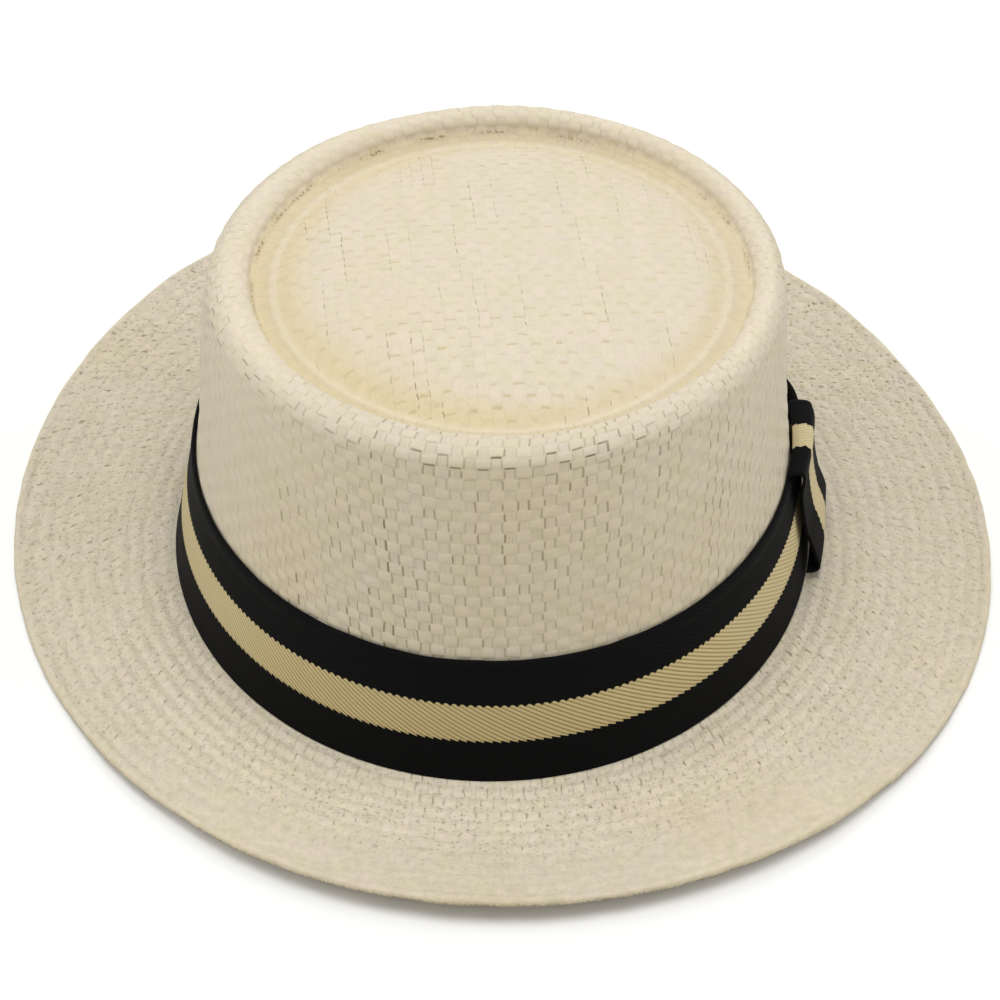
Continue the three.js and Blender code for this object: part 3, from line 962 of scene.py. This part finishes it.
def block_at(s, weave):
    """What the recipe has to know of a point: its strip, its row and the block on top there."""
    at = SimpleNamespace(object_place=s.node("ShaderNodeTexCoord").outputs["Object"])
    at.open_slits = s.number("slits")
    across, along = s.two(s.node("ShaderNodeUVMap", uv_map="strips").outputs["UV"])
    for scale, size in ((COARSE_DRIFT, weave["wobble"]), (FINE_DRIFT, weave["jitter"])):
        drift_across, drift_along = s.two(s.cloud(at.object_place, scale, 0.0, "Color"))
        across = s.add(across, s.times(s.less(drift_across, 0.5), 2 * size))
        along = s.add(along, s.times(s.less(drift_along, 0.5), 2 * size))
    at.across, at.along = (along, across) if weave["turned"] else (across, along)

    at.column, at.row = s.math("ROUND", at.across), s.math("ROUND", at.along)
    at.from_column, at.from_row = s.less(at.across, at.column), s.less(at.along, at.row)
    # a and b: how far the point is from the middle of the block that is on top
    at.a, at.b = s.math("ABSOLUTE", at.from_column), s.math("ABSOLUTE", at.from_row)
    under = s.math("FLOORED_MODULO", s.add(at.column, at.row), 2.0)
    at.a = s.add(at.a, s.times(under, s.less(1.0, s.times(at.a, 2.0))))
    at.corner = s.add(
        s.math("POWER", s.times(at.a, 1 / weave["half_length"]), 4.0),
        s.math("POWER", s.times(at.b, 1 / weave["half_height"]), 4.0),
    )
    at.over = s.step(at.corner, 0.75, 1.3, 1.0, 0.0)
    at.crossing = s.less(1.0, at.over)
    return at


# %% Slits at the ends of the blocks
def slits_in(s, weave, at):
    """Some slits are open and some shut, and some strips stay open all along."""
    side = s.math("GREATER_THAN", at.from_column, 0.0)
    end = s.add(s.times(at.column, 2.0), side)
    chance = s.math("POWER", s.random(end, at.row, 3.0), weave["rarity"])
    chance = s.times(chance, s.add(0.35, s.random(end, 0.0, 7.0)))
    second = s.random(end, at.row, 13.0)
    middle = s.add(weave["slit_at"], s.times(s.less(second, 0.5), weave["slit_wander"]))
    gap = s.math("MULTIPLY_ADD", s.number("cracks"), -0.5, 1.0)
    gap = s.math("DIVIDE", s.math("ABSOLUTE", s.less(at.a, middle)), gap)
    slit = s.step(gap, 0.25 * weave["slit"], 0.6 * weave["slit"], 1.0, 0.0)
    reach = s.times(weave["reach"], s.add(0.55, s.times(second, 0.6)))
    reach = s.add(reach, s.times(s.number("cracks"), 0.25))
    slit = s.times(slit, s.step(s.less(at.b, reach), -0.08, 0.08, 1.0, 0.0))
    # on the tip a slit is dark at one end of each block only: partly the gap where the strip dives under,
    # partly painted shadow on the side away from the light
    if weave["turned"]:
        slit = s.times(slit, s.step(at.from_column, -0.1, 0.1, 1.0, 0.15))
    slit = s.times(s.times(s.times(slit, chance), weave["slit_dark"]), at.open_slits)

    # ends that gape along the shoulder, dark partly as real gaps and partly as painted shade under the
    # blocks' lower edges, and pits where four blocks meet
    gaping = s.times(s.step(at.from_row, -0.42, -0.24, 1.0, 0.0), s.step(at.a, 0.34, 0.48, 1.0, 0.0))
    gaping = s.times(gaping, s.step(s.random(at.column, at.row, 41.0), 0.30, 0.70))
    slit = s.math("MAXIMUM", slit, s.times(gaping, s.number("shoulder")))
    pits = s.times(s.step(at.b, 0.35, 0.45), s.step(at.a, 0.76, 0.92))
    pits = s.times(pits, s.step(s.random(end, at.row, 51.0), 0.30, 0.85))
    return s.math("MAXIMUM", slit, s.times(s.times(pits, at.open_slits), weave["pits"]))


# %% Threads of shadow between neighbouring strips
def threads_in(s, weave, at):
    """They come in short runs of a few strips."""
    border = s.math("FLOOR", at.along)
    run_of_border = s.math("FLOOR", s.times(at.across, 1 / 7))
    threads = s.step(s.random(border, run_of_border, 11.0), 0.76, 1.0)
    threads = s.times(threads, s.step(s.less(0.5, at.b), 0.03, 0.075, 1.0, 0.0))
    threads = s.times(threads, s.step(s.math("ABSOLUTE", at.from_column), 0.24, 0.34, 1.0, 0.0))
    threads = s.times(threads, s.math("MULTIPLY_ADD", s.random(border, at.column, 17.0), 0.8, 0.2))
    return s.times(s.times(threads, weave["threads"]), at.open_slits)


# %% Fibres and lightness
def fibres_in(s, at):
    """Fibres along whichever strip is on top, and the streaks on the crossing ones."""
    place_along = s.place(s.times(at.across, 0.6), s.times(at.along, 13.0), s.times(at.row, 3.7))
    place_across = s.place(s.times(at.across, 11.0), s.times(at.along, 0.5), s.times(at.column, 5.3))
    fibre_along, fibre_across = s.cloud(place_along, 1.0, 3.0), s.cloud(place_across, 1.0, 3.0)
    fibre = s.add(s.times(at.over, fibre_along), s.times(at.crossing, fibre_across))
    return fibre, s.times(at.crossing, s.step(fibre_across, 0.53, 0.72))


def lightness_in(s, weave, at):
    """How light the straw is, about 1 for a plain strip."""
    strip = s.add(s.times(at.over, at.row), s.times(at.crossing, at.column))
    tint = s.random(strip, s.math("FLOOR", s.times(at.across, 0.13)), 21.0)
    light = s.add(1.0, s.times(s.less(tint, 0.5), 0.030))
    light = s.add(light, s.times(s.less(at.fibre, 0.5), 0.09))
    light = s.add(light, s.times(s.less(at.mottle, 0.5), weave["mottle"]))
    # painted shade on the crossing strips, which lie lower than the blocks
    light = s.less(light, s.times(at.crossing, weave["crossing_shade"]))
    # painted shade under the lower edge of each block
    lower_edge = s.times(at.over, s.step(at.from_row, -0.5, -0.34, 1.0, 0.0))
    # painted shade in the valleys between the brim's rows
    valley_shade = s.times(s.step(at.b, 0.12, 0.5), s.step(s.cloud(at.object_place, 90.0), 0.35, 0.6))
    specks = s.step(s.cloud(at.object_place, 900.0), 0.56, 0.72)
    for shade, strength in (
        (at.streaks, weave["streaks"]), (lower_edge, weave["edges"]),
        (valley_shade, weave["valley_shade"]), (specks, weave["specks"]),
    ):
        light = s.less(light, s.times(s.times(shade, at.open_slits), strength))
    # the painted shade level darkens a whole weave, and painted light lifts it back towards full lightness
    return s.times(light, s.math("MULTIPLY_ADD", s.number("painted_light"), 1.08 - weave["painted_shade_level"], weave["painted_shade_level"]))


# %% Colour of the straw
STRAW_PINK = rgb(209, 197, 179)
STRAW_OLIVE = rgb(206, 196, 171)
# warm straw colour, also used for painted warm shade
STRAW_WARM_AND_WARM_SHADE = rgb(204, 188, 148)
STRAW_SHADOW = rgb(112, 92, 58)


def colour_in(s, weave, at, slit, threads):
    """Pinkish and olive strips, stained and warmed in places, the warmth partly painted warm shade, with
    the slits, threads and a painted crease shade on top.
    """
    hue = s.times(s.cloud(at.object_place, 150.0), 0.65)
    hue = s.math("MULTIPLY_ADD", s.random(at.column, at.row, 31.0), 0.35, hue)
    stain = s.step(s.cloud(at.object_place, 22.0, 3.0), 0.45, 0.75)
    # warmth: the straw's own warmer colour and stains, and painted warm shade of bounced light in the
    # groove and on the front wall
    warm_tint_and_shade = s.math("MULTIPLY_ADD", s.number("warmth_and_warm_shade"), 0.75, s.times(stain, 0.20))
    # a broken dark line of painted shade in the crease and under the brim's turned edge
    painted_crease_shade = s.step(s.cloud(at.object_place, 1300.0, 1.0), 0.42, 0.62)
    painted_crease_shade = s.times(s.number("crease"), s.math("MULTIPLY_ADD", painted_crease_shade, 0.85, 0.15))
    colour = s.blend(s.step(hue, 0.25, 0.75), STRAW_PINK, STRAW_OLIVE)
    colour = s.blend(warm_tint_and_shade, colour, STRAW_WARM_AND_WARM_SHADE)
    colour = s.blend(s.math("MINIMUM", slit, 0.9), colour, weave["slit_colour"])
    colour = s.blend(s.math("MINIMUM", threads, 0.9), colour, STRAW_SHADOW)
    return s.blend(s.times(painted_crease_shade, weave["crease"]), colour, STRAW_SHADOW)


# %% Straw recipe
STRAW_BUMP = 0.30 * MM


def straw(name, weave):
    """Straw whose strips cross as the named proportions say."""
    material, shader, s = new_material(name)
    at = block_at(s, weave)
    slit, threads = slits_in(s, weave, at), threads_in(s, weave, at)
    at.fibre, at.streaks = fibres_in(s, at)
    at.mottle = s.cloud(at.object_place, 420.0, 3.0)
    light = lightness_in(s, weave, at)
    grey = s.node("ShaderNodeCombineColor")
    for socket in grey.inputs:
        s.feed(socket, light)
    colour = s.blend(1.0, colour_in(s, weave, at, slit, threads), grey.outputs[0], "MULTIPLY")
    s.feed(shader.inputs["Base Color"], colour)
    s.feed(shader.inputs["Roughness"], s.add(0.56, s.times(at.fibre, 0.25)))
    shader.inputs["Specular IOR Level"].default_value = 0.30

    height = s.times(at.over, s.less(1.0, s.times(at.corner, 0.35)))
    height = s.times(s.times(height, at.open_slits), weave["blocks"])
    height = s.less(height, s.times(s.add(slit, threads), 0.8))
    height = s.add(height, s.times(at.fibre, 0.35))
    height = s.add(height, s.times(at.mottle, weave["lumps"]))
    s.bump(shader, height, weave["bump"], STRAW_BUMP)
    return material


# %% [markdown]
# Each weave is a list of proportions. Lengths along a row are in strips and lengths across it in rows:
# wobble and jitter bend the strips, half_length and half_height are a block's, and slit, slit_at,
# slit_wander and reach are a slit's width, place, scatter and half height. A higher rarity shuts more of
# the slits. The painted shade level is the lightness of the whole weave, below 1 where the weave is
# painted darker as painted shade, and the rest say how strong each thing is, from 0 for none. Of these,
# edges, valley shade and crossing shade are painted shade, and crease is painted shade along the crease.

# %% The three weaves
plain_weave = {
    "turned": False, "half_height": 0.48, "rarity": 1.0, "pits": 0.0, "valley_shade": 0.0, "threads": 0.0,
    "edges": 0.0, "crossing_shade": 0.0, "streaks": 0.06, "crease": 0.90,
}
wall_weave = plain_weave | {
    "wobble": 0.10, "jitter": 0.03, "half_length": 0.56, "slit": 0.19, "slit_at": 0.60,
    "slit_wander": 0.08, "reach": 0.50, "slit_dark": 0.64, "slit_colour": rgb(126, 110, 70),
    "edges": 0.05, "painted_shade_level": 0.94, "crossing_shade": 0.02, "streaks": 0.22, "specks": 0.03,
    "mottle": 0.06, "blocks": 0.8, "lumps": 0.7, "bump": 0.45,
}
tip_weave = plain_weave | {
    "turned": True, "wobble": 0.14, "jitter": 0.08, "half_length": 0.80, "slit": 0.34, "slit_at": 0.92,
    "slit_wander": 0.10, "reach": 0.44, "rarity": 0.6, "slit_dark": 0.60,
    "slit_colour": rgb(182, 165, 122), "threads": 0.80, "painted_shade_level": 1.0, "specks": 0.05,
    "mottle": 0.14, "blocks": 0.9, "lumps": 0.8, "bump": 0.40,
}
brim_weave = plain_weave | {
    "wobble": 0.20, "jitter": 0.20, "half_length": 0.84, "half_height": 0.47, "slit": 0.40,
    "slit_at": 0.98, "slit_wander": 0.30, "reach": 0.15, "rarity": 1.2, "slit_dark": 0.74,
    "slit_colour": rgb(128, 110, 72), "pits": 0.60, "valley_shade": 0.06, "painted_shade_level": 0.90, "specks": 0.30,
    "mottle": 0.34, "blocks": 0.35, "lumps": 2.6, "bump": 0.62,
}
crown.data.materials.append(straw("straw wall", wall_weave))
crown.data.materials.append(straw("straw tip", tip_weave))
brim.data.materials.append(straw("straw brim", brim_weave))
print("straw materials:", [m.name for m in (*crown.data.materials, *brim.data.materials)])

# %% [markdown]
# ## Ribbon finish
#
# The ribbon is a striped twill: black, a beige middle and black again. The twill's cords run down to the
# right, and because a stripe starts and stops on whole cords its edges are saw-toothed. The UV map
# counts cords along the ribbon and runs from 0 to 1 across it.

# %% Ribbon material
RIBBON_BLACK, BLACK_GROOVE = rgb(13, 13, 14), rgb(8, 8, 8)
RIBBON_BEIGE, BEIGE_GROOVE = rgb(197, 181, 136), rgb(150, 130, 84)
# a paler, lighter beige: painted sheen where the ribbon is seen at a slant
SHEEN_BEIGE, SHEEN_BEIGE_GROOVE = rgb(203, 191, 154), rgb(186, 173, 136)
STRIPE_FROM, STRIPE_TO = 0.339, 0.634
STRIPE_SOFTNESS = 0.003
TOOTH_DEPTH = 0.7 * MM / BAND_WIDTH
CORDS_DOWN = BAND_WIDTH / TOOTH / math.tan(math.radians(30))
RIBBON_BUMP = 0.15 * MM

ribbon, shader, s = new_material("striped ribbon")
cords, across = s.two(s.node("ShaderNodeUVMap", uv_map="strips").outputs["UV"])
cord_place = s.add(cords, s.times(across, CORDS_DOWN))
ridge = s.math("SINE", s.times(s.math("FRACT", cord_place), math.pi))
lower_tooth = s.math("FRACT", s.add(cords, STRIPE_FROM * CORDS_DOWN))
upper_tooth = s.math("FRACT", s.add(cords, STRIPE_TO * CORDS_DOWN))
upper_tooth = s.math("SINE", s.times(upper_tooth, math.pi))
lower_edge = s.less(STRIPE_FROM + 0.5 * TOOTH_DEPTH, s.times(lower_tooth, TOOTH_DEPTH))
upper_edge = s.add(STRIPE_TO - 0.6 * TOOTH_DEPTH, s.times(upper_tooth, TOOTH_DEPTH))
in_stripe = s.times(
    s.step(s.less(across, lower_edge), -STRIPE_SOFTNESS, STRIPE_SOFTNESS),
    s.step(s.less(upper_edge, across), -STRIPE_SOFTNESS, STRIPE_SOFTNESS),
)
threads = s.cloud(s.place(s.times(cord_place, 9.0), s.times(across, 60.0)), 1.0)
# where fewer cords show, the beige turns paler as painted sheen
plain = s.less(1.0, s.number("cords"))
between = s.blend(plain, BEIGE_GROOVE, SHEEN_BEIGE_GROOVE)
beige = s.blend(plain, RIBBON_BEIGE, SHEEN_BEIGE)
beige = s.blend(s.step(ridge, 0.15, 0.85), between, beige)
black = s.blend(s.step(ridge, 0.1, 0.9), BLACK_GROOVE, RIBBON_BLACK)
s.feed(shader.inputs["Base Color"], s.blend(in_stripe, black, beige))
shader.inputs["Roughness"].default_value = 0.85
shader.inputs["Specular IOR Level"].default_value = 0.08
shader.inputs["Sheen Weight"].default_value = 0.02
shader.inputs["Sheen Roughness"].default_value = 0.4
height = s.add(s.times(ridge, s.number("cords")), s.times(threads, 0.3))
s.bump(shader, height, 0.6, RIBBON_BUMP)
hatband.data.materials.append(ribbon)
wrap.data.materials.append(ribbon)
print("ribbon stripe from", STRIPE_FROM, "to", STRIPE_TO, "of its width")

# %% [markdown]
# ## Hand over
#
# Each piece rides on the hat's one body and takes the place of its plain solid.

# %% Ride and replace, then print the sizes
for piece, node, slot in (
    (crown, "crown", "straw"), (brim, "brim", "straw"),
    (hatband, "hatband", "ribbon"), (wrap, "band_wrap", "ribbon"),
):
    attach(piece, "root")
    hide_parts(node)

visual_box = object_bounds()
plain = [[[float(x) for x in corner] for corner in box] for box in (cad_box, visual_box)]
print("sizes:", plain)
